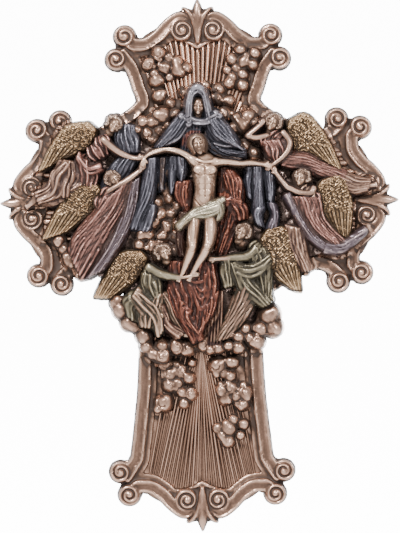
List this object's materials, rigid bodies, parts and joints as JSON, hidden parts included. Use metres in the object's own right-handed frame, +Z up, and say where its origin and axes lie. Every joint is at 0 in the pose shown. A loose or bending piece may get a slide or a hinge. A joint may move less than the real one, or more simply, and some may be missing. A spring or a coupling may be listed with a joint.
{
  "type": "cross wall plaque",
  "caption": "Cross-shaped relief wall plaque with scrolled arm ends, rays, clouds, a draped central figure held by winged attendants and a flat back with a hanging recess.",
  "frame": {"origin": "on the flat back face that meets the wall, where the axes of the four arms cross", "axes": "+Z up along the long arm, +X to the viewer's right, +Y out of the back into the wall; the relief faces -Y"},
  "size_m": [0.3034, 0.0427, 0.4069],
  "materials": {
    "antique_bronze": "antiqued satin bronze with dark recesses",
    "skin_bronze": "pale rubbed bronze",
    "blue_patina": "blue-grey tinted bronze",
    "rose_patina": "rose tinted bronze",
    "rust_patina": "rust-red tinted bronze",
    "green_patina": "pale green tinted bronze",
    "gold_wing": "dull gold over dark bronze"
  },
  "bodies": {
    "root": {"cross_plaque": "antique_bronze"}
  },
  "joints": []
}
